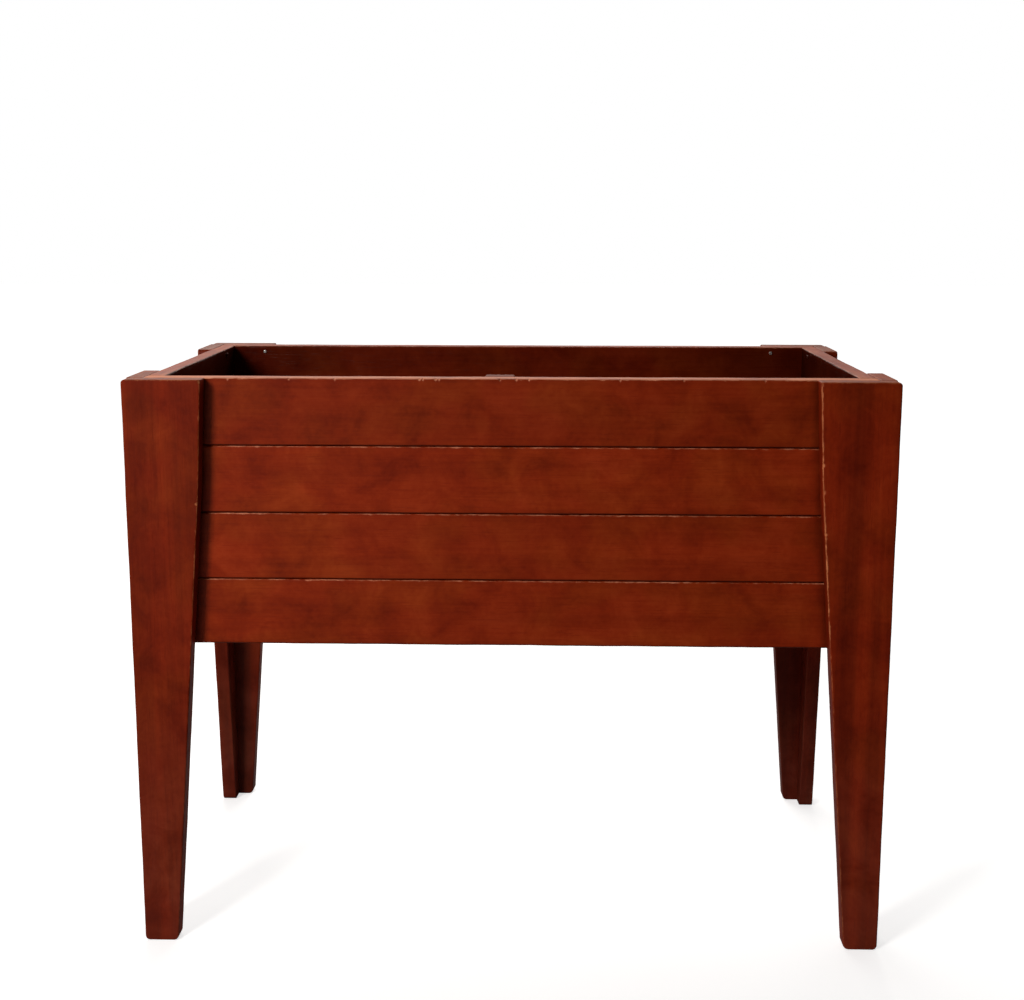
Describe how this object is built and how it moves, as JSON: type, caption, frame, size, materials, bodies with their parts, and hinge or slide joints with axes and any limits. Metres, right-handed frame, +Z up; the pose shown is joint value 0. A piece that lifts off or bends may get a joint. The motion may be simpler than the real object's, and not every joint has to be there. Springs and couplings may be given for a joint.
{
  "type": "raised planter on legs",
  "caption": "Open-topped raised wooden planter box of stacked boards, standing on tapered L-shaped legs, with a slatted floor.",
  "frame": {"origin": "on the ground, midway between the four feet", "axes": "+Z up, +X along the planter's long side, -Y out of the front"},
  "size_m": [0.9, 0.42, 0.7],
  "materials": {
    "wall_boards": "red-brown mahogany stain, satin",
    "legs": "red-brown mahogany stain, satin",
    "floor_timber": "red-brown mahogany stain, matt",
    "screws": "zinc plated"
  },
  "bodies": {
    "root": {"floor_slat_1": "floor_timber", "floor_slat_2": "floor_timber", "floor_slat_3": "floor_timber", "floor_slat_4": "floor_timber", "floor_slat_5": "floor_timber", "floor_slat_6": "floor_timber", "floor_slat_7": "floor_timber", "floor_slat_8": "floor_timber", "floor_slat_9": "floor_timber", "front_batten_screws": "screws", "front_centre_batten": "floor_timber", "front_cleat_screws": "screws", "front_floor_cleat": "floor_timber", "front_left_leg_front_board": "legs", "front_left_leg_side_board": "legs", "front_right_leg_front_board": "legs", "front_right_leg_side_board": "legs", "front_wall_board_bottom": "wall_boards", "front_wall_board_lower": "wall_boards", "front_wall_board_top": "wall_boards", "front_wall_board_upper": "wall_boards", "front_wall_screws": "screws", "left_wall_board_bottom": "wall_boards", "left_wall_board_lower": "wall_boards", "left_wall_board_top": "wall_boards", "left_wall_board_upper": "wall_boards", "left_wall_screws": "screws", "rear_batten_screws": "screws", "rear_centre_batten": "floor_timber", "rear_cleat_screws": "screws", "rear_floor_cleat": "floor_timber", "rear_left_leg_rear_board": "legs", "rear_left_leg_side_board": "legs", "rear_right_leg_rear_board": "legs", "rear_right_leg_side_board": "legs", "rear_wall_board_bottom": "wall_boards", "rear_wall_board_lower": "wall_boards", "rear_wall_board_top": "wall_boards", "rear_wall_board_upper": "wall_boards", "rear_wall_screws": "screws", "right_wall_board_bottom": "wall_boards", "right_wall_board_lower": "wall_boards", "right_wall_board_top": "wall_boards", "right_wall_board_upper": "wall_boards", "right_wall_screws": "screws", "slat_screws": "screws"}
  },
  "joints": []
}
